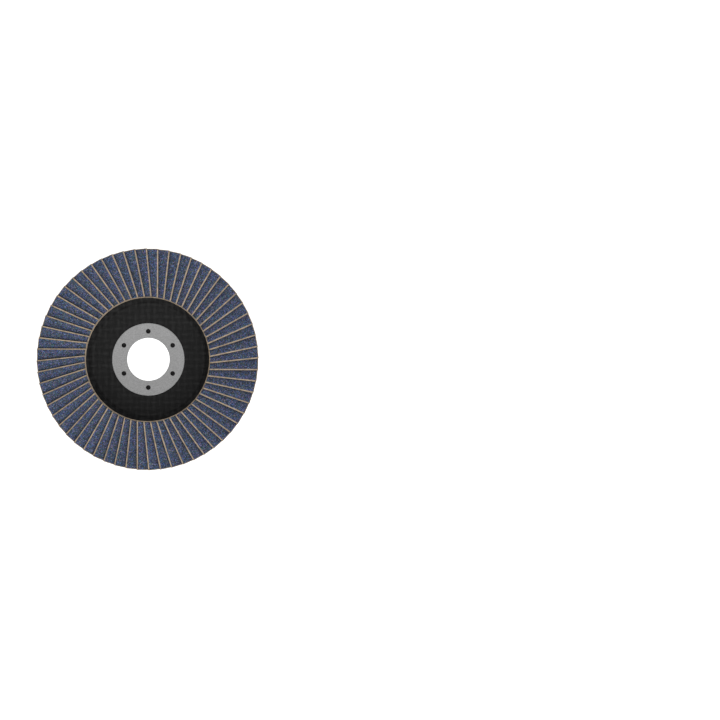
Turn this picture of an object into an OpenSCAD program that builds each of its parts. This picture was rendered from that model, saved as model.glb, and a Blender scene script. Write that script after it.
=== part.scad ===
// Flap disc with a depressed centre: overlapping strips of coated cloth, glued like a fan
// onto a pressed glass-fibre plate, with a steel ring around the bore.
// Millimetres. +Z runs out of the working side, and z = 0 is the back of the hub.

/* [Disc] */
// Outer diameter, over the corners of the flaps
disc_d = 115; // [110:0.5:125]
// Number of flaps
flap_count = 60; // [48:2:72]
// Turn of the first flap about the axis, in degrees
first_flap_turn = -0.3; // [-3:0.1:3]

/* [Flaps] */
// Diameter of the circle that the inner ends of the flaps lie on
flap_inner_d = 64; // [60:0.5:68]
// Width of one flap
flap_w = 10.5; // [9.5:0.1:13]
// Thickness of the coated cloth
flap_t = 0.9; // [0.7:0.05:1.2]
// Width of the bare border along the free edge and the inner end
border_w = 0.5; // [0.3:0.05:0.9]
// Width of the bare border at the rim
rim_border_w = 0.35; // [0.2:0.05:0.9]
// Drop of the bare border below the coat
border_drop = 0.25; // [0.1:0.05:0.4]
// Clearance between a flap and what it lies on
lay_gap = 0.04; // [0.03:0.01:0.08]

/* [Backing plate] */
// Thickness of the pressed plate
plate_t = 2.4; // [2:0.1:3]
// Distance from the rim of the flange out to the corners of the flaps
flap_overhang = 8.5; // [5:0.5:12]
// Height of the flange above the hub
flange_rise = 3.8; // [3:0.1:5]
// Radial run of the sloping wall between hub and flange
wall_run = 1.7; // [1:0.1:4]
// Distance from the top of the wall out to the inner ends of the flaps
wall_inset = 0.2; // [0:0.1:2]
// Inside radius where the plate folds
fold_r = 0.6; // [0.4:0.1:0.8]
// Rounding of the trimmed rim of the flange
rim_r = 0.5; // [0.2:0.1:0.8]

/* [Arbor ring] */
// Bore of the disc
bore_d = 22.23; // [20:0.01:24]
// Outer diameter of the ring
ring_d = 37.7; // [35:0.1:42]
// Thickness of the steel sheet
sheet_t = 0.8; // [0.6:0.05:1]
// Inside radius of the bend from the flange into the collar
bend_r = 0.2; // [0.1:0.05:0.3]
// Rounding of the bore's mouth
mouth_r = 0.4; // [0.2:0.05:1]
// Rounding of the punched outer edge
punch_r = 0.25; // [0.1:0.05:0.35]
// Depth that the ring is let into the hub
seat_depth = 0.3; // [0.1:0.05:0.5]
// Clearance around the ring and its collar
seat_gap = 0.05; // [0.03:0.01:0.1]
// Distance of the collar's end from the back of the hub
collar_inset = 0.15; // [0.1:0.05:0.5]
// Number of perforations
perforation_count = 6; // [3:1:8]
// Diameter of one perforation
perforation_d = 2.45; // [1.5:0.05:3]
// Diameter of the circle that the perforations lie on
perforation_pcd = 29.2; // [28:0.1:30]
// Depth of the resin's edge below the face of the ring
resin_depth = 0.4; // [0.3:0.05:0.5]
// Height of the resin's dome above its edge
resin_dome = 0.2; // [0.1:0.05:0.3]

/* [Adhesive bed] */
// Thickness of the adhesive under the lowest edge of a flap
bed_t = 0.35; // [0.2:0.05:0.6]
// Distance from the inner ends of the flaps out to the adhesive
bed_inset = 1.8; // [1.5:0.1:3]
// Distance from the rim of the flange in to the adhesive
bed_margin = 0.8; // [0.6:0.1:2]

/* [Hidden] */
$fn = 96;
fold_steps = 6;        // straight steps in a rounded corner
across_steps = 3;      // divisions of a flap across its coat
along_steps = 4;       // divisions of a flap along its coat
ramp_steps = 2;        // divisions of one adhesive ramp along the arc
bed_steps = 3;         // divisions of one adhesive ramp along the radius
peg_root = 0.2;        // depth that a resin peg is drawn into the plate

pitch = 360 / flap_count;
pair_count = flap_count / 2;

// Radii
bore_r = bore_d / 2;
ring_r = ring_d / 2;
plate_bore_r = bore_r + sheet_t + seat_gap;
seat_r = ring_r + seat_gap;
flap_inner_r = flap_inner_d / 2;
wall_top_r = flap_inner_r - wall_inset;
wall_foot_r = wall_top_r - wall_run;
flange_r = disc_d / 2 - flap_overhang;
bed_inner_r = flap_inner_r + bed_inset;
bed_outer_r = flange_r - bed_margin;

// Heights
seat_z = plate_t - seat_depth;
ring_top_z = seat_z + sheet_t;
flange_z = plate_t + flange_rise;
flange_back_z = flange_z - plate_t;
lay_z = flange_z + bed_t;

// The back of the sloping wall is its front moved square to it by the plate's thickness
wall_len = norm([wall_run, flange_rise]);
back_shift = plate_t * (wall_len - wall_run) / flange_rise;
wall_foot_back_r = wall_foot_r + back_shift;
wall_top_back_r = wall_top_r + back_shift;

// Flap
half_w = flap_w / 2;
flap_end = sqrt(pow(disc_d / 2, 2) - pow(half_w, 2));
climb = (flap_t + lay_gap) / pitch;   // rise of a flap for each degree clockwise

function pair_name(i) = str("flap_pair_", i < 10 ? "0" : "", i);

function unit(v) = v / norm(v);

// Points of an arc of radius r that rounds corner c between its neighbours a and b
function rounded(a, c, b, r) =
    let (
        u = unit(a - c),
        v = unit(b - c),
        half = acos(u * v) / 2,
        m = c + unit(u + v) * r / sin(half),
        s = c + u * r / tan(half) - m,
        e = c + v * r / tan(half) - m,
        from = atan2(s[1], s[0]),
        sweep = atan2(e[1], e[0]) - from,
        turn = sweep > 180 ? sweep - 360 : sweep < -180 ? sweep + 360 : sweep
    )
    [for (i = [0 : fold_steps]) m + r * [cos(from + turn * i / fold_steps), sin(from + turn * i / fold_steps)]];

// Closed outline from corners [x, y, radius]; a radius of 0 leaves the corner sharp
function outline(corners) =
    let (n = len(corners), at = function (i) [corners[(i + n) % n][0], corners[(i + n) % n][1]])
    [for (i = [0 : n - 1])
        each corners[i][2] > 0 ? rounded(at(i - 1), at(i), at(i + 1), corners[i][2]) : [at(i)]];

// Copies around the axis, the first one on +Y as seen from the working side
module around(count, r) {
    for (i = [0 : count - 1]) rotate(90 + i * 360 / count) translate([r, 0, 0]) children();
}

module plate_shell() {
    rotate_extrude() polygon(outline([
        [plate_bore_r, 0, 0],
        [wall_foot_back_r, 0, fold_r + plate_t],
        [wall_top_back_r, flange_back_z, fold_r],
        [flange_r, flange_back_z, rim_r],
        [flange_r, flange_z, rim_r],
        [wall_top_r, flange_z, fold_r + plate_t],
        [wall_foot_r, plate_t, fold_r],
        [seat_r, plate_t, 0],
        [seat_r, seat_z, 0],
        [plate_bore_r, seat_z, bend_r + seat_gap]
    ]));
}

// Resin that rose through a perforation and set with a low dome
module resin_peg() {
    peg_r = perforation_d / 2 - seat_gap;
    edge_z = ring_top_z - resin_depth;
    dome_r = (pow(peg_r, 2) + pow(resin_dome, 2)) / (2 * resin_dome);
    half_turn = asin(peg_r / dome_r);
    rotate_extrude() polygon(concat(
        [[0, seat_z - peg_root], [peg_r, seat_z - peg_root]],
        [for (i = [0 : fold_steps])
            let (a = half_turn * (1 - i / fold_steps))
            [dome_r * sin(a), edge_z + resin_dome - dome_r * (1 - cos(a))]]
    ));
}

module backing_plate() {
    color([0.13, 0.13, 0.135]) union() {
        plate_shell();
        around(perforation_count, perforation_pcd / 2) resin_peg();
    }
}

module arbor_ring() {
    color([0.6, 0.6, 0.6]) difference() {
        rotate_extrude() polygon(outline([
            [bore_r, collar_inset, 0],
            [bore_r + sheet_t, collar_inset, 0],
            [bore_r + sheet_t, seat_z, bend_r],
            [ring_r, seat_z, 0],
            [ring_r, ring_top_z, punch_r],
            [bore_r, ring_top_z, mouth_r]
        ]));
        around(perforation_count, perforation_pcd / 2)
            translate([0, 0, seat_z - sheet_t]) cylinder(d = perforation_d, h = 3 * sheet_t);
    }
}

// Underside of a flap at a distance along its axis and clockwise across it.
// It starts on the adhesive at the flap's hidden edge, and every flap turned by one pitch
// lies one thickness and one clearance higher.
function lay_height(along, across) =
    lay_z + climb * (atan2(across, along) + asin(half_w / norm([along, across])));

// One flap along +X. Its columns run across from the hidden edge to the bare border, and
// its rows from the inner end to the rim, with a bare border at both. The rim is cut straight
// across, but follows a circle where the next flap hides it.
module flap() {
    columns = concat(
        [for (i = [0 : across_steps]) -half_w + (flap_w - border_w) * i / across_steps],
        [half_w]
    );
    cols = len(columns);
    rows = along_steps + 3;
    row_along = function (j, start, end)
        j == 0 ? start
        : j == rows - 1 ? end
        : start + border_w + (end - start - border_w - rim_border_w) * (j - 1) / along_steps;
    on_border = function (i, j) i == cols - 1 || j == 0 || j == rows - 1;
    grid = [for (j = [0 : rows - 1]) for (i = [0 : cols - 1])
        let (
            across = columns[i],
            start = sqrt(pow(flap_inner_r, 2) - pow(across, 2)),
            end = across > 0 ? flap_end : sqrt(pow(flap_end, 2) - pow(across, 2)),
            along = row_along(j, start, end)
        )
        [along, -across, lay_height(along, across)]];
    top = [for (j = [0 : rows - 1]) for (i = [0 : cols - 1])
        grid[j * cols + i] + [0, 0, flap_t - (on_border(i, j) ? border_drop : 0)]];
    n = rows * cols;
    at = function (i, j) j * cols + i;
    // The cells of the upper side fold down and those of the underside fold up, so that
    // twisted neighbours never cut into each other.
    faces = concat(
        [for (j = [0 : rows - 2]) for (i = [0 : cols - 2]) each [
            [n + at(i, j), n + at(i, j + 1), n + at(i + 1, j + 1)],
            [n + at(i, j), n + at(i + 1, j + 1), n + at(i + 1, j)],
            [at(i, j), at(i + 1, j), at(i, j + 1)],
            [at(i + 1, j), at(i + 1, j + 1), at(i, j + 1)]
        ]],
        [for (j = [0 : rows - 2]) each [
            [at(0, j), at(0, j + 1), n + at(0, j + 1), n + at(0, j)],
            [at(cols - 1, j + 1), at(cols - 1, j), n + at(cols - 1, j), n + at(cols - 1, j + 1)]
        ]],
        [for (i = [0 : cols - 2]) each [
            [at(i + 1, 0), at(i, 0), n + at(i, 0), n + at(i + 1, 0)],
            [at(i, rows - 1), at(i + 1, rows - 1), n + at(i + 1, rows - 1), n + at(i, rows - 1)]
        ]]
    );
    polyhedron(points = concat(grid, top), faces = faces);
}

// Two flaps on opposite sides of the disc, which never meet
module flap_pair(i) {
    color([0.27, 0.3, 0.38])
        for (side = [0, 180]) rotate(first_flap_turn + pitch * (i - 1) + side) flap();
}

// Ring of adhesive with one ramp under each flap, as the flaps' undersides press it
module adhesive_bed() {
    per_ramp = ramp_steps + 1;
    per_ring = flap_count * per_ramp;
    ring_radius = function (j) bed_inner_r + (bed_outer_r - bed_inner_r) * j / bed_steps;
    upper = [for (j = [0 : bed_steps]) for (k = [0 : flap_count - 1]) for (i = [0 : ramp_steps])
        let (
            r = ring_radius(j),
            edge = first_flap_turn + pitch * k + asin((half_w + lay_gap) / r),
            a = edge - pitch * i / ramp_steps
        )
        [r * cos(a), r * sin(a), lay_z - lay_gap + climb * pitch * i / ramp_steps]];
    base = [for (j = [0, bed_steps]) for (k = [0 : flap_count - 1]) for (i = [0 : ramp_steps - 1])
        let (p = upper[j * per_ring + k * per_ramp + i])
        [p[0], p[1], flange_z]];
    n = len(upper);
    base_ring = flap_count * ramp_steps;
    up = function (i, k, j) j * per_ring + ((k + flap_count) % flap_count) * per_ramp + i;
    // The base point after a ramp's last one is the first of the next ramp clockwise
    low = function (i, k, ring)
        n + ring * base_ring
          + (i < ramp_steps ? k * ramp_steps + i : ((k - 1 + flap_count) % flap_count) * ramp_steps);
    faces = concat(
        [for (k = [0 : flap_count - 1]) for (j = [0 : bed_steps - 1]) for (i = [0 : ramp_steps - 1]) each [
            [up(i, k, j), up(i, k, j + 1), up(i + 1, k, j + 1)],
            [up(i, k, j), up(i + 1, k, j + 1), up(i + 1, k, j)]
        ]],
        [for (k = [0 : flap_count - 1]) for (j = [0 : bed_steps - 1])
            [up(ramp_steps, k, j), up(ramp_steps, k, j + 1), up(0, k - 1, j + 1), up(0, k - 1, j)]],
        [for (k = [0 : flap_count - 1]) for (i = [0 : ramp_steps - 1])
            let (last = i == ramp_steps - 1)
            concat(
                [low(i, k, 0), up(i, k, 0), up(i + 1, k, 0)],
                last ? [up(0, k - 1, 0)] : [],
                [low(i + 1, k, 0)]
            )],
        [for (k = [0 : flap_count - 1]) for (i = [0 : ramp_steps - 1])
            let (last = i == ramp_steps - 1)
            concat(
                [low(i, k, 1), low(i + 1, k, 1)],
                last ? [up(0, k - 1, bed_steps)] : [],
                [up(i + 1, k, bed_steps), up(i, k, bed_steps)]
            )],
        [for (k = [0 : flap_count - 1]) for (i = [0 : ramp_steps - 1])
            [low(i, k, 0), low(i + 1, k, 0), low(i + 1, k, 1), low(i, k, 1)]]
    );
    color([0.42, 0.3, 0.16]) polyhedron(points = concat(upper, base), faces = faces);
}

backing_plate();
arbor_ring();
adhesive_bed();
for (i = [1 : pair_count]) flap_pair(i);
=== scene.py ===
import math

import bmesh
import bpy
import numpy as np
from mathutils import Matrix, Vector


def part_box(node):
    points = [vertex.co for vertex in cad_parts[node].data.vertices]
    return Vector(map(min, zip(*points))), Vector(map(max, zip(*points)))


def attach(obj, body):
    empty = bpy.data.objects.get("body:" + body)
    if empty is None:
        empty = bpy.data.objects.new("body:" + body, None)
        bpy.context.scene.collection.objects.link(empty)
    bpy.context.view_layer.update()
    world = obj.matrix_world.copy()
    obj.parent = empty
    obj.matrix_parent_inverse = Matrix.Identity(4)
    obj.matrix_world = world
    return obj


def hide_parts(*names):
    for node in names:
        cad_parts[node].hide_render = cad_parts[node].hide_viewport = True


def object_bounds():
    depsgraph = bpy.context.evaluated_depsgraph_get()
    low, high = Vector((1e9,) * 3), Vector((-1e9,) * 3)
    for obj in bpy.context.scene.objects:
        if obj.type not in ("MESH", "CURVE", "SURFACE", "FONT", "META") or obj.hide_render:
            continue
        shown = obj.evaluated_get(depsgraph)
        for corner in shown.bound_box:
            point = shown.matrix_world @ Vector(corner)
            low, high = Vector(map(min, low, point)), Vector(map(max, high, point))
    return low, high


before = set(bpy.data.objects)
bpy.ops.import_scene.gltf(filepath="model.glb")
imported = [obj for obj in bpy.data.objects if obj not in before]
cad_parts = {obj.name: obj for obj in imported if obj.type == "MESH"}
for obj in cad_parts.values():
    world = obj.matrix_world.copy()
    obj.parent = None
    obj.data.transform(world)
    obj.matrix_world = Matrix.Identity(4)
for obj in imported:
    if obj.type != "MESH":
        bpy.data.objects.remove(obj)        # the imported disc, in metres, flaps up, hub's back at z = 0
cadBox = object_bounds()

mm = 0.001
flapNodes = sorted(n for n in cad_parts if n.startswith("flap_pair"))
flapCount = 2 * len(flapNodes)
discRadius = 57.5 * mm                     # out to the corners of the flaps
flapTop = cadBox[1].z
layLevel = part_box(flapNodes[0])[0].z       # where the lowest edge of every flap lies
print("frame loaded:", flapCount, "flaps, top at", round(flapTop / mm, 2), "mm")


# The shape of one flap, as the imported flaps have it, with the coat's broken edge

flapShape = {
    "turn": math.radians(-0.3),          # of the first flap
    "turnSpread": math.radians(0.12),    # no flap is glued quite in its place
    "turnSeed": 5,
    "innerRadius": 32 * mm,
    "width": 10.5 * mm,
    "thickness": 0.9 * mm,
    "layGap": 0.04 * mm,
    "clothThickness": 0.6 * mm,
    "clothColumns": 5,                   # of the cloth under the coat, in the mesh of one flap
    "clothRows": 13,
    "border": 0.56 * mm,                 # cloth left bare along the free edge
    "innerBorder": 0.46 * mm,
    "rimBorder": 0.35 * mm,
    "coatColumns": 7,
    "coatRows": 76,
    "coatSink": 0.02 * mm,               # how far the coat reaches into the cloth
    "coatSlope": 0.12 * mm,              # run of the coat's broken edge
    "coatWander": 0.07 * mm,             # how far that edge strays
    "wanderSize": 0.9 * mm,
    "wanderReach": 0.18 * mm,            # how far in from the bare cloth the coat strays with it
    "coatSeed": 7.0,
    "clothSeed": 1.0,
}
halfWidth = flapShape["width"] / 2
flapEnd = math.sqrt(discRadius ** 2 - halfWidth ** 2)
pitchAngle = 2 * math.pi / flapCount
climb = (flapShape["thickness"] + flapShape["layGap"]) / pitchAngle     # rise for each radian clockwise


# Small helpers

def setInputs(node, values):
    for name, value in values.items():
        node.inputs[name].default_value = value
    return node


def newNode(tree, kind, values=None, **settings):
    node = tree.nodes.new(kind)
    for name, value in settings.items():
        setattr(node, name, value)
    return setInputs(node, values or {})


def feed(tree, socket, value):        # another node's output, a colour or a number
    if isinstance(value, bpy.types.NodeSocket):
        tree.links.new(value, socket)
    else:
        socket.default_value = (*value, 1) if isinstance(value, tuple) else value


def mathNode(tree, operation, *values):
    node = newNode(tree, "ShaderNodeMath", operation=operation)
    for socket, value in zip(node.inputs, values):
        feed(tree, socket, value)
    return node.outputs[0]


def total(tree, first, *others):
    for other in others:
        first = mathNode(tree, "ADD", first, other)
    return first


def product(tree, first, *others):
    for other in others:
        first = mathNode(tree, "MULTIPLY", first, other)
    return first


def mixColour(tree, factor, a, b, blend="MIX"):
    node = newNode(tree, "ShaderNodeMix", data_type="RGBA", blend_type=blend)
    for name, value in (("Factor", factor), ("A", a), ("B", b)):
        feed(tree, next(s for s in node.inputs if s.name == name and s.enabled), value)
    return next(s for s in node.outputs if s.enabled)


def spread(tree, value, low, high, toLow, toHigh):
    node = newNode(tree, "ShaderNodeMapRange", {"From Min": low, "From Max": high,
                                                "To Min": toLow, "To Max": toHigh})
    tree.links.new(value, node.inputs["Value"])
    return node.outputs[0]


def between(tree, share, low, high):        # low where the share is 0, high where it is 1
    return spread(tree, share, 0, 1, low, high)


def splitVector(tree, vector):
    node = tree.nodes.new("ShaderNodeSeparateXYZ")
    tree.links.new(vector, node.inputs[0])
    return node.outputs


def joinVector(tree, *parts):
    node = tree.nodes.new("ShaderNodeCombineXYZ")
    for socket, part in zip(node.inputs, parts):
        feed(tree, socket, part)
    return node.outputs[0]


def linearColour(red, green, blue):        # from the 0 to 255 of a screen to the renderer's scale
    return tuple(((c / 255 + 0.055) / 1.055) ** 2.4 if c > 10 else c / 255 / 12.92
                 for c in (red, green, blue))


def startMaterial(name):
    material = bpy.data.materials.new(name)
    material.use_nodes = True
    tree = material.node_tree
    return material, tree, tree.nodes["Principled BSDF"]


def startGroup(name, inputs, outputs):
    group = bpy.data.node_groups.new(name, "ShaderNodeTree")
    group.interface.new_socket("Vector", in_out="INPUT", socket_type="NodeSocketVector")
    for socketName, value in inputs:
        socket = group.interface.new_socket(socketName, in_out="INPUT", socket_type="NodeSocketFloat")
        socket.default_value = value
    for socketName, kind in outputs:
        group.interface.new_socket(socketName, in_out="OUTPUT", socket_type=kind)
    return group, group.nodes.new("NodeGroupInput"), group.nodes.new("NodeGroupOutput")


def placeGroup(tree, group, vector, values):
    node = newNode(tree, "ShaderNodeGroup", node_tree=group)
    tree.links.new(vector, node.inputs["Vector"])
    return setInputs(node, values)


# Shared effects

noiseBand = (0.3, 0.7)        # where nearly all of a noise's values lie

grainPattern = {
    "fineGrains": 2.3,            # how many fine grains lie along a large one
    "heaps": 0.45,
    "largeShare": 0.7,            # of a grain's tone, and the fine ones give the rest
    "dome": (0.15, 0.75),         # from a grain's tip, 1, to the gap round it, 0
    # painted shade in the gap round each grain and painted light on its dome, on top of the bump
    "paintedGapShade": 0.6,
    "paintedDomeLight": 0.5,              # on top of the gap's
    "facetHeight": 0.35,
}


def makeGrainGroup():
    group, start, end = startGroup(
        "abrasiveGrain",
        [("Size", 0.3 * mm), ("Sparkle", 2.0), ("Hue Spread", 0.3), ("Cluster", 0.4)],
        [("Tone", "NodeSocketFloat"), ("Tint", "NodeSocketColor"), ("Height", "NodeSocketFloat")])
    scale = mathNode(group, "DIVIDE", 1.0, start.outputs["Size"])
    large = group.nodes.new("ShaderNodeTexVoronoi")
    fine = group.nodes.new("ShaderNodeTexVoronoi")
    heap = newNode(group, "ShaderNodeTexNoise", {"Detail": 1.0})
    for node, factor in ((large, 1.0), (fine, grainPattern["fineGrains"]), (heap, grainPattern["heaps"])):
        group.links.new(start.outputs["Vector"], node.inputs["Vector"])
        group.links.new(product(group, scale, factor), node.inputs["Scale"])
    largeTones, fineTones = (group.nodes.new("ShaderNodeSeparateColor") for _ in range(2))
    group.links.new(large.outputs["Color"], largeTones.inputs[0])
    group.links.new(fine.outputs["Color"], fineTones.inputs[0])
    share = grainPattern["largeShare"]
    mixed = total(group, product(group, largeTones.outputs[0], share),
                  product(group, fineTones.outputs[1], 1 - share))
    dome = spread(group, large.outputs["Distance"], *grainPattern["dome"], 1.0, 0.0)
    # painted light on each grain's dome and painted shade in the gap round it
    lit = total(group, product(group, dome, grainPattern["paintedDomeLight"]), grainPattern["paintedGapShade"])
    drift = product(group, spread(group, heap.outputs[0], *noiseBand, -1.0, 1.0), start.outputs["Cluster"])
    tone = product(group, mathNode(group, "POWER", mixed, start.outputs["Sparkle"]), lit,
                   total(group, drift, 1.0))
    group.links.new(tone, end.inputs["Tone"])
    tint = group.nodes.new("ShaderNodeCombineColor")
    tint.inputs[1].default_value = 1
    for channel, source in ((0, 1), (2, 2)):        # green stays, red and blue go their own ways
        off = mathNode(group, "SUBTRACT", largeTones.outputs[source], 0.5)
        shift = total(group, product(group, off, start.outputs["Hue Spread"]), 1.0)
        group.links.new(shift, tint.inputs[channel])
    group.links.new(tint.outputs[0], end.inputs["Tint"])
    facet = product(group, fineTones.outputs[0], grainPattern["facetHeight"])
    group.links.new(total(group, dome, facet), end.inputs["Height"])
    return group


weavePattern = {
    "swayPerPitch": 0.35,         # swings of the yarns' wobble along one pitch
    "wobbleTurn": 6.28,           # radians of phase for a wobble of 1
    "crestHeight": 0.6,
    "crossHeight": 0.4,           # of the yarn that lies on top
}


def makeWeaveGroup():
    group, start, end = startGroup(
        "clothWeave", [("Pitch", 0.4 * mm), ("Wobble", 0.1)],
        [("Height", "NodeSocketFloat"), ("Gap", "NodeSocketFloat")])
    noise = newNode(group, "ShaderNodeTexNoise", {"Detail": 2.0})
    group.links.new(start.outputs["Vector"], noise.inputs["Vector"])
    group.links.new(mathNode(group, "DIVIDE", weavePattern["swayPerPitch"], start.outputs["Pitch"]),
                    noise.inputs["Scale"])
    wobble = product(group, mathNode(group, "SUBTRACT", noise.outputs[0], 0.5),
                     product(group, start.outputs["Wobble"], weavePattern["wobbleTurn"]))
    parts = splitVector(group, start.outputs["Vector"])
    turn = mathNode(group, "DIVIDE", 2 * math.pi, start.outputs["Pitch"])
    crests, halves = [], []
    for axis in (0, 1):
        phase = total(group, product(group, parts[axis], turn), wobble)
        crests.append(mathNode(group, "COSINE", phase))
        halves.append(mathNode(group, "COSINE", product(group, phase, 0.5)))
    upper = mathNode(group, "MAXIMUM", *crests)
    height = total(group, product(group, upper, weavePattern["crestHeight"]),
                   product(group, product(group, *halves), weavePattern["crossHeight"]))
    group.links.new(height, end.inputs["Height"])
    group.links.new(spread(group, total(group, *crests), -2.0, 2.0, 1.0, 0.0), end.inputs["Gap"])
    return group


rovingPattern = {
    "swayScale": 0.4,
    "sway": 0.25,                 # of a pitch, to either side
    "crest": (-0.6, 1.0),         # part of the cosine that a strand covers
    "strand": (1.1, 0.22),        # noise across and along the strands: whole strands
    "strandTone": (0.3, 1.1),
    "filament": (7.0, 0.8),       # and the filaments in them
    "filamentTone": (-0.4, 0.4),
    "layer": 3.7,                 # keeps the two sets' noise apart
    "layerStep": 5.1,
    "overMask": (-0.4, 0.4, 0.3, 0.7),     # softly, which set lies on top
}


def makeRovingGroup():        # open glass cloth: two sets of strands, no two strands alike
    group, start, end = startGroup(
        "glassRoving", [("Pitch", 3 * mm)],
        [("Tone", "NodeSocketFloat"), ("Height", "NodeSocketFloat")])
    scaled = newNode(group, "ShaderNodeVectorMath", operation="SCALE")
    group.links.new(start.outputs["Vector"], scaled.inputs[0])
    group.links.new(mathNode(group, "DIVIDE", 1.0, start.outputs["Pitch"]), scaled.inputs["Scale"])
    sway = newNode(group, "ShaderNodeTexNoise", {"Scale": rovingPattern["swayScale"], "Detail": 1.0})
    group.links.new(scaled.outputs[0], sway.inputs["Vector"])
    bend = between(group, sway.outputs[0], -rovingPattern["sway"], rovingPattern["sway"])
    parts = splitVector(group, scaled.outputs[0])
    sets, crossings = [], []
    for axis in (0, 1):
        across = total(group, parts[axis], bend)
        wave = mathNode(group, "COSINE", product(group, across, 2 * math.pi))
        crest = spread(group, wave, *rovingPattern["crest"], 0.0, 1.0)
        noises = []
        for fine, stretch in (rovingPattern["strand"], rovingPattern["filament"]):
            spot = joinVector(group, product(group, across, fine), product(group, parts[1 - axis], stretch),
                              rovingPattern["layer"] + rovingPattern["layerStep"] * axis + fine)
            noise = newNode(group, "ShaderNodeTexNoise", {"Scale": 1.0, "Detail": 1.0})
            group.links.new(spot, noise.inputs["Vector"])
            noises.append(noise.outputs[0])
        strand = product(group, crest, spread(group, noises[0], *noiseBand, *rovingPattern["strandTone"]))
        filaments = spread(group, noises[1], *noiseBand, *rovingPattern["filamentTone"])
        sets.append(total(group, strand, filaments))
        crossings.append(mathNode(group, "COSINE", product(group, across, math.pi)))
    mixed = group.nodes.new("ShaderNodeMix")
    group.links.new(spread(group, product(group, *crossings), *rovingPattern["overMask"]), mixed.inputs[0])
    group.links.new(sets[0], mixed.inputs[2])
    group.links.new(sets[1], mixed.inputs[3])
    for name in ("Tone", "Height"):
        group.links.new(mixed.outputs[0], end.inputs[name])
    return group


def makeMottleGroup():
    group, start, end = startGroup("mottle", [("Size", 5 * mm)], [("Value", "NodeSocketFloat")])
    noise = newNode(group, "ShaderNodeTexNoise", {"Detail": 4.0, "Roughness": 0.55})
    group.links.new(start.outputs["Vector"], noise.inputs["Vector"])
    group.links.new(mathNode(group, "DIVIDE", 1.0, start.outputs["Size"]), noise.inputs["Scale"])
    group.links.new(spread(group, noise.outputs[0], *noiseBand, 0.0, 1.0), end.inputs["Value"])
    return group


grainGroup = makeGrainGroup()
weaveGroup = makeWeaveGroup()
rovingGroup = makeRovingGroup()
mottleGroup = makeMottleGroup()


# What the finishes share

def objectPlace(tree):
    return tree.nodes.new("ShaderNodeTexCoord").outputs["Object"]


def stripPlace(tree):        # across and along the flap, in metres
    return newNode(tree, "ShaderNodeUVMap", uv_map="strip").outputs[0]


def axisDistance(tree, place):
    parts = splitVector(tree, place)
    squares = [mathNode(tree, "POWER", parts[axis], 2.0) for axis in (0, 1)]
    return mathNode(tree, "SQRT", total(tree, *squares))


def keptValue(tree, name):
    return newNode(tree, "ShaderNodeAttribute", attribute_name=name).outputs["Fac"]


def flapTone(tree, low, high):        # one value for each flap
    chance = newNode(tree, "ShaderNodeTexWhiteNoise", noise_dimensions="1D")
    tree.links.new(keptValue(tree, "flapAngle"), chance.inputs["W"])
    return between(tree, chance.outputs["Value"], low, high)


def mottled(tree, place, size):
    return placeGroup(tree, mottleGroup, place, {"Size": size}).outputs[0]


def dress(tree, shader, colour, shade, roughness, height, relief, values):
    if shade is not None:
        colour = mixColour(tree, 1.0, colour, shade, "MULTIPLY")
    tree.links.new(colour, shader.inputs["Base Color"])
    tree.links.new(roughness, shader.inputs["Roughness"])
    bump = newNode(tree, "ShaderNodeBump", {"Strength": 1.0, "Distance": relief})
    tree.links.new(height, bump.inputs["Height"])
    tree.links.new(bump.outputs["Normal"], shader.inputs["Normal"])
    setInputs(shader, values)


# Finishes: of two numbers, the first goes with the lower end of what they follow

coatFinish = {
    "dark": linearColour(21, 27, 45),
    "light": linearColour(148, 166, 210),
    "grainSize": 0.29 * mm,
    "sparkle": 2.8,              # higher leaves fewer and brighter grains
    "hueSpread": 1.5,
    "cluster": 0.12,             # how unevenly the grains lie
    "mottleSize": 4 * mm,
    "mottleShade": (0.95, 1.04),
    "flapShade": (0.95, 1.05),
    "paintedTuckShadow": 0.22,         # painted shadow in the corner at the next flap's free edge
    "paintedShadowReach": 0.95 * mm,    # over which that fades away
    "roughness": (0.8, 0.55),
    "specular": 0.3,
    "relief": 0.08 * mm,
}


def makeCoatMaterial():
    material, tree, shader = startMaterial("blueGrainCoat")
    place = objectPlace(tree)
    grain = placeGroup(tree, grainGroup, place, {
        "Size": coatFinish["grainSize"], "Sparkle": coatFinish["sparkle"],
        "Hue Spread": coatFinish["hueSpread"], "Cluster": coatFinish["cluster"]})
    tone = grain.outputs["Tone"]
    colour = mixColour(tree, tone, coatFinish["dark"], coatFinish["light"])
    colour = mixColour(tree, 1.0, colour, grain.outputs["Tint"], "MULTIPLY")
    across, along, _ = splitVector(tree, stripPlace(tree))
    turned = total(tree, product(tree, along, math.sin(pitchAngle)),
                   product(tree, across, math.cos(pitchAngle)))
    fromEdge = mathNode(tree, "SUBTRACT", turned, halfWidth)        # of the flap that lies above
    # painted shadow on the coat, fading away from the free edge of the flap that lies above
    tucked = mathNode(tree, "POWER", math.e, mathNode(tree, "DIVIDE", fromEdge, -coatFinish["paintedShadowReach"]))
    mottle = mottled(tree, place, coatFinish["mottleSize"])
    shade = product(tree, between(tree, mottle, *coatFinish["mottleShade"]),
                    between(tree, tucked, 1.0, coatFinish["paintedTuckShadow"]),
                    flapTone(tree, *coatFinish["flapShade"]))
    dress(tree, shader, colour, shade, between(tree, tone, *coatFinish["roughness"]),
          grain.outputs["Height"], coatFinish["relief"], {"Specular IOR Level": coatFinish["specular"]})
    return material


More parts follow.
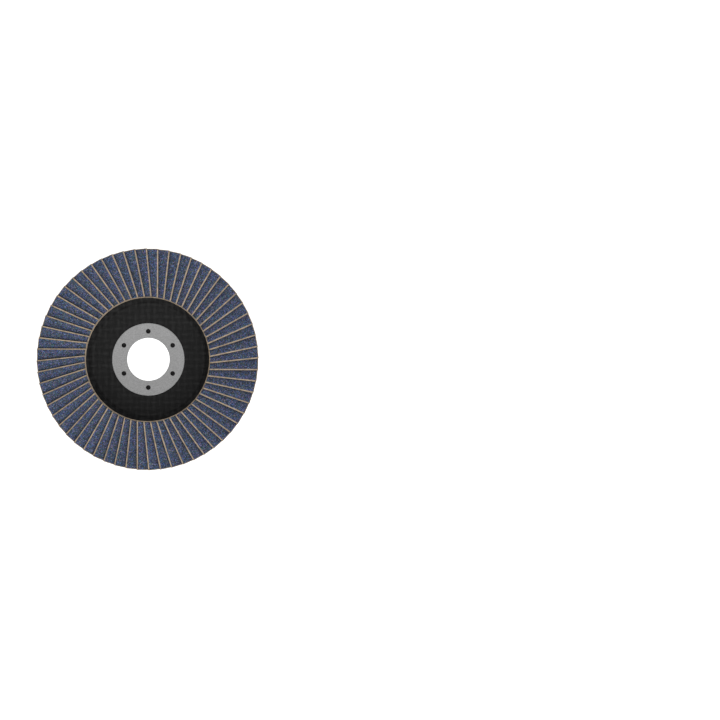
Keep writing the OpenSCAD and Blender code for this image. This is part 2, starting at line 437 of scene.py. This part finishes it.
clothFinish = {
    "yarn": linearColour(221, 199, 171),
    "gap": linearColour(160, 139, 115),
    "pitch": 0.42 * mm,
    "wobble": 0.08,
    "gapPower": 2.0,             # higher leaves narrower gaps
    "mottleSize": 1.6 * mm,
    "mottleShade": (0.66, 1.32),
    # the first also falls on the cloth under the thread ends, which keeps no threadTone: painted shade under
    # them
    "threadShade": (0.78, 1.22),
    "flapShade": (0.9, 1.1),
    "innerShade": 0.66,          # darker at the flaps' inner cut ends
    "innerFade": (0.5 * mm, 0.9 * mm),     # outwards from the inner ends
    "rimShade": 0.7,
    "rimFade": (0.75 * mm, 0.5 * mm),      # inwards from the corners
    "tipDustAndShade": 0.55,            # dust on the cut thread ends, and painted shade where they hang down
    "roughness": (0.85, 0.95),
    "sheen": 0.15,
    "sheenRoughness": 0.5,
    "specular": 0.25,
    "relief": 0.05 * mm,
}


def makeClothMaterial():
    material, tree, shader = startMaterial("tanCottonCloth")
    weave = placeGroup(tree, weaveGroup, stripPlace(tree), {
        "Pitch": clothFinish["pitch"], "Wobble": clothFinish["wobble"]})
    gap = mathNode(tree, "POWER", weave.outputs["Gap"], clothFinish["gapPower"])
    colour = mixColour(tree, gap, clothFinish["yarn"], clothFinish["gap"])
    place = objectPlace(tree)
    mottle = mottled(tree, place, clothFinish["mottleSize"])
    radius = axisDistance(tree, place)
    innerLow, innerHigh = (flapShape["innerRadius"] + fade for fade in clothFinish["innerFade"])
    rimLow, rimHigh = (discRadius - fade for fade in clothFinish["rimFade"])
    shade = product(tree, between(tree, mottle, *clothFinish["mottleShade"]),
                    spread(tree, radius, innerLow, innerHigh, clothFinish["innerShade"], 1.0),
                    spread(tree, radius, rimLow, rimHigh, 1.0, clothFinish["rimShade"]),
                    # dust and painted shade at the hanging thread ends
                    between(tree, keptValue(tree, "tip"), 1.0, clothFinish["tipDustAndShade"]),
                    # the cloth under the thread ends takes the low end here: painted shade under them
                    between(tree, keptValue(tree, "threadTone"), *clothFinish["threadShade"]),
                    flapTone(tree, *clothFinish["flapShade"]))
    dress(tree, shader, colour, shade, between(tree, mottle, *clothFinish["roughness"]),
          weave.outputs["Height"], clothFinish["relief"],
          {"Sheen Weight": clothFinish["sheen"], "Sheen Roughness": clothFinish["sheenRoughness"],
           "Specular IOR Level": clothFinish["specular"]})
    return material


plateFinish = {
    "resin": linearColour(14, 14, 14),
    "yarn": linearColour(35, 35, 35),
    "meshPitch": 3.16 * mm,      # of the open glass cloth
    "mottleSize": 6 * mm,
    "mottleShade": (0.92, 1.08),
    "roughness": (0.36, 0.46),
    "specular": 0.1,
    "relief": 0.05 * mm,
    "wallLightRange": (27.9 * mm, 28.9 * mm),    # distances from the axis over which the wall begins and its painted light comes in
    "wallPaintedLight": 1.5,                      # painted light: paler on the wall, against the shade of the recess; the wall is rougher too
    "wallRough": (28.6 * mm, 29.6 * mm),
    "wallRoughness": 0.4,                  # on top of the flat hub's
    "plug": (18.7 * mm, 18.8 * mm),        # inside it only resin has come through the steel ring
    "plugShade": 0.3,
}


def makePlateMaterial():
    material, tree, shader = startMaterial("pressedGlassFibre")
    place = objectPlace(tree)
    glass = placeGroup(tree, rovingGroup, place, {"Pitch": plateFinish["meshPitch"]})
    colour = mixColour(tree, glass.outputs["Tone"], plateFinish["resin"], plateFinish["yarn"])
    mottle = mottled(tree, place, plateFinish["mottleSize"])
    radius = axisDistance(tree, place)
    # painted light on the wall and the fold at its foot, against the shade of the recess
    shade = product(tree, spread(tree, radius, *plateFinish["wallLightRange"], 1.0, plateFinish["wallPaintedLight"]),
                    between(tree, mottle, *plateFinish["mottleShade"]),
                    spread(tree, radius, *plateFinish["plug"], plateFinish["plugShade"], 1.0))
    rougher = spread(tree, radius, *plateFinish["wallRough"], 0.0, plateFinish["wallRoughness"])
    roughness = total(tree, between(tree, mottle, *plateFinish["roughness"]), rougher)
    dress(tree, shader, colour, shade, roughness, glass.outputs["Height"], plateFinish["relief"],
          {"Specular IOR Level": plateFinish["specular"]})
    return material


ringFinish = {
    "steel": linearColour(130, 130, 130),
    "brushPitch": 0.12 * mm,
    "brushBand": (0.2, 0.8),     # of the brush noise
    "brushShade": (0.96, 1.04),
    "mottleSize": 3 * mm,
    "mottleShade": (0.98, 1.02),
    "speckleSize": 0.55 * mm,
    "speckleShade": (0.82, 1.18),
    "roughness": (0.52, 0.6),
    "relief": 0.004 * mm,
}


def makeRingMaterial():
    material, tree, shader = startMaterial("satinSteel")
    place = objectPlace(tree)
    turned = joinVector(tree, axisDistance(tree, place), splitVector(tree, place)[2])
    brush = newNode(tree, "ShaderNodeTexNoise", {"Scale": 1 / ringFinish["brushPitch"], "Detail": 3.0})
    tree.links.new(turned, brush.inputs["Vector"])
    mottle = mottled(tree, place, ringFinish["mottleSize"])
    speckle = mottled(tree, place, ringFinish["speckleSize"])
    shade = product(tree, spread(tree, brush.outputs[0], *ringFinish["brushBand"], *ringFinish["brushShade"]),
                    between(tree, mottle, *ringFinish["mottleShade"]),
                    between(tree, speckle, *ringFinish["speckleShade"]))
    dress(tree, shader, ringFinish["steel"], shade, between(tree, mottle, *ringFinish["roughness"]),
          brush.outputs[0], ringFinish["relief"], {"Metallic": 1.0})
    return material


adhesiveFinish = {
    "deep": linearColour(58, 40, 24),
    "resin": linearColour(92, 66, 38),
    "mottleSize": 2.5 * mm,
    "roughness": (0.2, 0.35),
    "relief": 0.08 * mm,
}


def makeAdhesiveMaterial():
    material, tree, shader = startMaterial("curedResin")
    mottle = mottled(tree, objectPlace(tree), adhesiveFinish["mottleSize"])
    colour = mixColour(tree, mottle, adhesiveFinish["deep"], adhesiveFinish["resin"])
    dress(tree, shader, colour, None, between(tree, mottle, *adhesiveFinish["roughness"]),
          mottle, adhesiveFinish["relief"], {})
    return material


coatMaterial = makeCoatMaterial()
clothMaterial = makeClothMaterial()
plateMaterial = makePlateMaterial()
ringMaterial = makeRingMaterial()
adhesiveMaterial = makeAdhesiveMaterial()
print("finishes made")


# Flaps: one strip of cloth and one of coat, each fanned round the axis

def layHeight(along, across):        # underside of a flap, as the fan twists it
    return layLevel + climb * (np.arctan2(across, along) + np.arcsin(halfWidth / np.hypot(along, across)))


def innerEnd(across):
    return math.sqrt(flapShape["innerRadius"] ** 2 - across ** 2)


def outerEnd(across):        # cut straight where it shows, on a circle where the next flap hides it
    return flapEnd if across > 0 else math.sqrt(flapEnd ** 2 - across ** 2)


def closedStrip(name, rows, base, top):        # base and top: columns, bare inner and outer ends, height
    points, strip = [], []
    for columns, (inset, outset), height in (base, top):
        for share in np.linspace(0, 1, rows):
            for across in columns:
                low = innerEnd(across) + inset
                along = low + (outerEnd(across) - outset - low) * share
                points.append((along, -across, layHeight(along, across) + height))
                strip.append((across, along))
    cols = len(top[0])
    count = rows * cols

    def wall(a, b, flip):        # between the edge a to b of the base and the same edge of the top
        return (a, b, count + b, count + a)[::flip]

    faces = []
    for j in range(rows - 1):
        for i in range(cols - 1):
            a = j * cols + i
            face = (a, a + 1, a + 1 + cols, a + cols)
            faces += [tuple(count + corner for corner in reversed(face)), face]
        for i, flip in ((0, 1), (cols - 1, -1)):
            faces.append(wall(j * cols + i, (j + 1) * cols + i, flip))
    for i in range(cols - 1):
        for j, flip in ((0, -1), (rows - 1, 1)):
            faces.append(wall(j * cols + i, j * cols + i + 1, flip))
    mesh = bpy.data.meshes.new(name)
    mesh.from_pydata(points, [], faces)
    uv = mesh.uv_layers.new(name="strip")
    for loop in mesh.loops:
        uv.data[loop.index].uv = strip[loop.vertex_index]
    return mesh


def makeClothBlank():
    columns = np.linspace(-halfWidth, halfWidth - flapShape["border"], flapShape["clothColumns"])
    columns = np.append(columns, halfWidth)
    return closedStrip("clothBlank", flapShape["clothRows"], (columns, (0, 0), 0),
                       (columns, (0, 0), flapShape["clothThickness"]))


def makeCoatBlank():        # its top edges stand back by the slope of the break
    inner, rim, slope = flapShape["innerBorder"], flapShape["rimBorder"], flapShape["coatSlope"]
    edge = halfWidth - flapShape["border"]
    top = np.linspace(-halfWidth, edge - slope, flapShape["coatColumns"])
    base = np.append(top[:-1], edge)
    return closedStrip(
        "coatBlank", flapShape["coatRows"],
        (base, (inner, rim), flapShape["clothThickness"] - flapShape["coatSink"]),
        (top, (inner + slope, rim + slope), flapShape["thickness"]))


def markRim(mesh):        # the coat's broken edge is what wanders
    reach = flapShape["wanderReach"]
    rim = mesh.attributes.new("rim", "FLOAT", "POINT")
    for vertex, value in zip(mesh.vertices, rim.data):
        along, across = vertex.co.x, -vertex.co.y
        nearEdge = (across > halfWidth - flapShape["border"] - reach
                    or along - innerEnd(across) < flapShape["innerBorder"] + reach
                    or outerEnd(across) - along < flapShape["rimBorder"] + reach)
        value.value = 1.0 if nearEdge else 0.0


def startTree(name, inputs):
    tree = bpy.data.node_groups.new(name, "GeometryNodeTree")
    tree.interface.new_socket("Geometry", in_out="INPUT", socket_type="NodeSocketGeometry")
    for socketName, kind in inputs:
        tree.interface.new_socket(socketName, in_out="INPUT", socket_type=kind)
    tree.interface.new_socket("Geometry", in_out="OUTPUT", socket_type="NodeSocketGeometry")
    return tree, tree.nodes.new("NodeGroupInput"), tree.nodes.new("NodeGroupOutput")


def randomValue(tree, low, high, seed):
    node = newNode(tree, "FunctionNodeRandomValue", data_type="FLOAT")
    least, most = (s for s in node.inputs if s.enabled and s.name in ("Min", "Max"))
    least.default_value, most.default_value = low, high
    feed(tree, node.inputs["Seed"], seed)
    return next(s for s in node.outputs if s.enabled)


def rotationOf(tree, *angles):
    rotation = tree.nodes.new("FunctionNodeEulerToRotation")
    tree.links.new(joinVector(tree, *angles), rotation.inputs[0])
    return rotation.outputs[0]


def copiesOn(tree, sources, name, value):        # real copies that keep one value each
    copies = tree.nodes.new("GeometryNodeInstanceOnPoints")
    for socketName, source in sources.items():
        tree.links.new(source, copies.inputs[socketName])
    keep = newNode(tree, "GeometryNodeStoreNamedAttribute", {"Name": name}, domain="INSTANCE")
    tree.links.new(copies.outputs[0], keep.inputs["Geometry"])
    tree.links.new(value, keep.inputs["Value"])
    realize = tree.nodes.new("GeometryNodeRealizeInstances")
    tree.links.new(keep.outputs[0], realize.inputs[0])
    return realize.outputs[0]


def addFan(tree, start, geometry):
    points = tree.nodes.new("GeometryNodePoints")
    tree.links.new(start.outputs["Count"], points.inputs["Count"])
    index = tree.nodes.new("GeometryNodeInputIndex").outputs[0]
    step = mathNode(tree, "DIVIDE", 2 * math.pi, start.outputs["Count"])
    miss = randomValue(tree, -flapShape["turnSpread"], flapShape["turnSpread"], flapShape["turnSeed"])
    angle = total(tree, product(tree, index, step), start.outputs["Turn"], miss)
    return copiesOn(tree, {"Points": points.outputs[0], "Instance": geometry,
                           "Rotation": rotationOf(tree, 0, 0, angle)}, "flapAngle", angle)


def namedValue(tree, name):
    return newNode(tree, "GeometryNodeInputNamedAttribute", {"Name": name}).outputs["Attribute"]


def finishTree(tree, start, end, geometry):
    paint = tree.nodes.new("GeometryNodeSetMaterial")
    tree.links.new(geometry, paint.inputs["Geometry"])
    tree.links.new(start.outputs["Material"], paint.inputs["Material"])
    tree.links.new(paint.outputs[0], end.inputs[0])
    return tree


def makeFanTree():
    tree, start, end = startTree("flapFan", [
        ("Count", "NodeSocketInt"), ("Turn", "NodeSocketFloat"), ("Wander", "NodeSocketFloat"),
        ("Wander Size", "NodeSocketFloat"), ("Seed", "NodeSocketFloat"), ("Material", "NodeSocketMaterial")])
    fan = addFan(tree, start, start.outputs["Geometry"])
    noise = newNode(tree, "ShaderNodeTexNoise", noise_dimensions="4D")
    tree.links.new(start.outputs["Seed"], noise.inputs["W"])
    tree.links.new(mathNode(tree, "DIVIDE", 1.0, start.outputs["Wander Size"]), noise.inputs["Scale"])
    centred = newNode(tree, "ShaderNodeVectorMath", operation="SUBTRACT")
    centred.inputs[1].default_value = (0.5, 0.5, 0.5)
    tree.links.new(noise.outputs["Color"], centred.inputs[0])
    level = newNode(tree, "ShaderNodeVectorMath", operation="MULTIPLY")
    level.inputs[1].default_value = (4, 4, 0)        # a noise seldom goes past a quarter to either side
    tree.links.new(centred.outputs[0], level.inputs[0])
    sized = newNode(tree, "ShaderNodeVectorMath", operation="SCALE")
    tree.links.new(level.outputs[0], sized.inputs[0])
    tree.links.new(product(tree, start.outputs["Wander"], namedValue(tree, "rim")), sized.inputs["Scale"])
    move = tree.nodes.new("GeometryNodeSetPosition")
    tree.links.new(fan, move.inputs["Geometry"])
    tree.links.new(sized.outputs[0], move.inputs["Offset"])
    return finishTree(tree, start, end, move.outputs[0])


def runTree(name, mesh, tree, values):
    holder = bpy.data.objects.new(name, mesh)
    bpy.context.scene.collection.objects.link(holder)
    modifier = holder.modifiers.new(tree.name, "NODES")
    modifier.node_group = tree
    for item in tree.interface.items_tree:
        if item.in_out == "INPUT" and item.name in values:
            modifier[item.identifier] = values[item.name]
    return makePlain(holder)


def makePlain(holder):        # the modifier's result becomes the object's own mesh
    depsgraph = bpy.context.evaluated_depsgraph_get()
    made = bpy.data.meshes.new_from_object(holder.evaluated_get(depsgraph), depsgraph=depsgraph)
    holder.modifiers.clear()
    holder.data = made
    made.name = holder.name
    return holder


# The cut ends of the cloth's threads, along each flap's bare edges

yarnEnds = {
    "pitch": 0.42 * mm,
    "radius": 0.19 * mm,
    "droop": 0.38 * mm,          # how far the cut ends hang
    "lift": 0.01 * mm,           # above the cloth
    "length": flapShape["border"],
    "sides": 5,
    "rings": ((-1, 0.9, 0), (-0.7, 1.0, 0.14), (0, 0.72, 1)),     # place, thickness and droop
    "seed": 11,
}
yarnChance = {                   # how the ends differ, in the order of their seeds
    "pitch": (-0.05, 0.05),
    "heading": (-0.12, 0.12),
    "length": (0.85, 1.2),
    "width": (0.9, 1.08),
    "height": (0.85, 1.06),
    "tone": (0.0, 1.0),
}


def makeYarnTree():
    tree, start, end = startTree("yarnEnds", [
        ("Count", "NodeSocketInt"), ("Turn", "NodeSocketFloat"), ("Yarn", "NodeSocketObject"),
        ("Seed", "NodeSocketInt"), ("Material", "NodeSocketMaterial")])
    edge = tree.nodes.new("GeometryNodeMeshToPoints")
    tree.links.new(start.outputs["Geometry"], edge.inputs["Mesh"])
    fan = addFan(tree, start, edge.outputs[0])
    chance = {name: randomValue(tree, *limits, total(tree, start.outputs["Seed"], salt))
              for salt, (name, limits) in enumerate(yarnChance.items(), 1)}
    yaw = total(tree, namedValue(tree, "flapAngle"), namedValue(tree, "heading"))
    tilt = total(tree, namedValue(tree, "pitch"), chance["pitch"])
    rotation = rotationOf(tree, namedValue(tree, "roll"), tilt, total(tree, yaw, chance["heading"]))
    yarn = tree.nodes.new("GeometryNodeObjectInfo")
    tree.links.new(start.outputs["Yarn"], yarn.inputs["Object"])
    ends = copiesOn(tree, {"Points": fan, "Instance": yarn.outputs["Geometry"], "Rotation": rotation,
                           "Scale": joinVector(tree, chance["length"], chance["width"], chance["height"])},
                    "threadTone", chance["tone"])
    return finishTree(tree, start, end, ends)


def makeYarn():        # one thread end, lying along +X with its cut end at x = 0
    radius, sides = yarnEnds["radius"], yarnEnds["sides"]
    points, faces = [], []
    for place, share, droop in yarnEnds["rings"]:
        for k in range(sides):
            angle = 2 * math.pi * (k + 0.25) / sides
            points.append((place * yarnEnds["length"], radius * share * math.cos(angle),
                           radius * (share * math.sin(angle) - 1) - droop * yarnEnds["droop"]))
    for ring in range(2):
        for k in range(sides):
            a, b = ring * sides + k, ring * sides + (k + 1) % sides
            faces.append((b, b + sides, a + sides, a))
    faces.append(tuple(range(sides))[::-1])
    faces.append(tuple(range(2 * sides, 3 * sides)))
    mesh = bpy.data.meshes.new("yarnEnd")
    mesh.from_pydata(points, [], faces)
    uv = mesh.uv_layers.new(name="strip")
    for loop in mesh.loops:
        uv.data[loop.index].uv = points[loop.vertex_index][:2]
    tip = mesh.attributes.new("tip", "FLOAT", "POINT")
    tip.data.foreach_set("value", [0.0] * (2 * sides) + [1.0] * sides)
    for polygon in mesh.polygons:
        polygon.use_smooth = True
    yarn = bpy.data.objects.new("yarnEnd", mesh)
    bpy.context.scene.collection.objects.link(yarn)
    return yarn


def makeCutEdge():        # a point for each thread: heading, roll and pitch lay it in the cloth's slope
    pitch = yarnEnds["pitch"]
    places = []

    def slope(along, across):
        return math.atan(climb / math.hypot(along, across))

    start = innerEnd(halfWidth)
    for k in range(int((flapEnd - start) / pitch)):
        along = start + (k + 0.5) * pitch
        places.append((along, halfWidth, -math.pi / 2, 0.0, -slope(along, halfWidth)))
    for k in range(int(flapShape["width"] / pitch)):
        across = -halfWidth + (k + 0.5) * pitch
        along = innerEnd(across)
        places.append((along, across, math.pi, slope(along, across), 0.0))
        places.append((outerEnd(across), across, 0.0, -slope(flapEnd, across), 0.0))
    height = flapShape["clothThickness"] + yarnEnds["lift"]
    points = [(along, -across, float(layHeight(along, across)) + height) for along, across, *_ in places]
    mesh = bpy.data.meshes.new("cutEdge")
    mesh.from_pydata(points, [], [])
    for column, name in enumerate(("heading", "roll", "pitch"), 2):
        attribute = mesh.attributes.new(name, "FLOAT", "POINT")
        attribute.data.foreach_set("value", [place[column] for place in places])
    return mesh


def makeFlaps():
    fanTree = makeFanTree()
    common = {"Count": flapCount, "Turn": flapShape["turn"]}
    cloth = runTree("flapCloth", makeClothBlank(), fanTree, {
        **common, "Wander": 0.0, "Wander Size": flapShape["wanderSize"], "Seed": flapShape["clothSeed"],
        "Material": clothMaterial})
    coatBlank = makeCoatBlank()
    markRim(coatBlank)
    coat = runTree("flapCoat", coatBlank, fanTree, {
        **common, "Wander": flapShape["coatWander"], "Wander Size": flapShape["wanderSize"],
        "Seed": flapShape["coatSeed"], "Material": coatMaterial})
    yarn = makeYarn()
    ends = runTree("flapYarnEnds", makeCutEdge(), makeYarnTree(), {
        **common, "Yarn": yarn, "Seed": yarnEnds["seed"], "Material": clothMaterial})
    bpy.data.objects.remove(yarn)
    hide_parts(*flapNodes)
    for piece in (cloth, coat, ends):
        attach(piece, "root")
        print(piece.name, sum(len(p.vertices) - 2 for p in piece.data.polygons), "triangles")


makeFlaps()


# Plate, ring and adhesive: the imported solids, smoothed over their rounded places

skin = {
    "weld": 0.0001 * mm,
    "crease": math.radians(32),      # sharper edges stay sharp
}


def makeSkin(name, solid, material):
    mesh = solid.data.copy()
    mesh.transform(solid.matrix_world)
    shape = bmesh.new()
    shape.from_mesh(mesh)
    bmesh.ops.remove_doubles(shape, verts=shape.verts, dist=skin["weld"])
    for face in shape.faces:
        face.smooth = True
    for edge in shape.edges:
        edge.smooth = edge.is_manifold and edge.calc_face_angle() < skin["crease"]
    shape.to_mesh(mesh)
    shape.free()
    mesh.materials.clear()
    mesh.materials.append(material)
    piece = bpy.data.objects.new(name, mesh)
    bpy.context.scene.collection.objects.link(piece)
    weights = piece.modifiers.new("flatFirst", "WEIGHTED_NORMAL")
    weights.keep_sharp = True
    return makePlain(piece)


for nodeName, slotName, pieceName, material in (
        ("backing_plate", "glass_fibre_resin", "plateSkin", plateMaterial),
        ("arbor_ring", "ring_steel", "ringSkin", ringMaterial),
        ("adhesive_bed", "adhesive_resin", "adhesiveSkin", adhesiveMaterial)):
    skinPiece = makeSkin(pieceName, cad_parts[nodeName], material)
    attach(skinPiece, "root")
    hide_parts(nodeName)
    print(pieceName, len(skinPiece.data.polygons), "triangles")


# Studio

studio = {
    "photoSize": 720,                   # pixels across the picture
    "axisPixel": (147.32, 359.38),      # where the flaps' middle shows, from the top left corner
    "radiusPixel": 111.25,              # from there to the flaps' corners
    "cameraHeight": 1.6,                # above the flaps
    "sensorWidth": 36,
    "cameraReach": 20,
    "worldStrength": 0.37,              # as a light; as a background it is 1
    "floorReach": 4.0,
    "floorLevel": -0.05 * mm,
    "floorAlbedo": 0.9,
    "floorRoughness": 0.9,
    "floorGlow": 0.8,                   # what the floor gives the camera by itself
    "lamps": (                          # place, strength, and a sun's angle or an area's width
        ("softKey", "SUN", (0.95, -2.7, 1.6), 2.45, math.radians(50)),
        ("nearFill", "AREA", (-0.02, 0.11, 0.24), 0.17, 0.07),
    ),
}


def makeCamera():
    perPixel = discRadius / studio["radiusPixel"]
    middle = studio["photoSize"] / 2
    camera = bpy.data.objects.new("photoCamera", bpy.data.cameras.new("photoCamera"))
    camera.data.sensor_width = studio["sensorWidth"]
    camera.data.lens = studio["sensorWidth"] * studio["cameraHeight"] / (studio["photoSize"] * perPixel)
    camera.data.clip_end = studio["cameraReach"]
    camera.location = ((middle - studio["axisPixel"][0]) * perPixel,
                       (studio["axisPixel"][1] - middle) * perPixel,
                       flapTop + studio["cameraHeight"])
    bpy.context.scene.collection.objects.link(camera)
    bpy.context.scene.camera = camera


def showsBackground(tree):        # 1 for the rays that see the background itself
    rays = tree.nodes.new("ShaderNodeLightPath").outputs
    return mathNode(tree, "MAXIMUM", rays["Is Camera Ray"],
                    mathNode(tree, "MAXIMUM", rays["Is Glossy Ray"], rays["Is Transmission Ray"]))


def makeWorld():
    world = bpy.data.worlds.new("studioWorld")
    world.use_nodes = True
    tree = world.node_tree
    background = setInputs(tree.nodes["Background"], {"Color": (1, 1, 1, 1)})
    strength = between(tree, showsBackground(tree), studio["worldStrength"], 1.0)
    tree.links.new(strength, background.inputs["Strength"])
    bpy.context.scene.world = world


def makeFloor():
    mesh = bpy.data.meshes.new("studioFloor")
    reach = studio["floorReach"]
    corners = [(x * reach, y * reach, studio["floorLevel"]) for x, y in ((-1, -1), (1, -1), (1, 1), (-1, 1))]
    mesh.from_pydata(corners, [], [(0, 1, 2, 3)])
    floor = bpy.data.objects.new("studioFloor", mesh)
    bpy.context.scene.collection.objects.link(floor)
    material, tree, shader = startMaterial("paleFloor")
    setInputs(shader, {"Base Color": (studio["floorAlbedo"],) * 3 + (1,), "Emission Color": (1, 1, 1, 1),
                       "Roughness": studio["floorRoughness"], "Specular IOR Level": 0.0})
    glow = product(tree, showsBackground(tree), studio["floorGlow"])
    tree.links.new(glow, shader.inputs["Emission Strength"])
    fromBelow = tree.nodes.new("ShaderNodeNewGeometry").outputs["Backfacing"]
    alpha = mathNode(tree, "SUBTRACT", 1.0, fromBelow)        # so the disc's back shows through it
    tree.links.new(alpha, shader.inputs["Alpha"])
    mesh.materials.append(material)


def makeLamp(name, kind, place, strength, extent):        # points at the disc's middle
    lamp = bpy.data.objects.new(name, bpy.data.lights.new(name, kind))
    lamp.data.energy = strength
    setattr(lamp.data, "angle" if kind == "SUN" else "size", extent)
    lamp.location = place
    lamp.rotation_euler = (-Vector(place)).to_track_quat("-Z", "Y").to_euler()
    bpy.context.scene.collection.objects.link(lamp)


makeCamera()
makeWorld()
makeFloor()
for lamp in studio["lamps"]:
    makeLamp(*lamp)
bpy.context.scene.view_settings.view_transform = "Standard"
print("studio made")
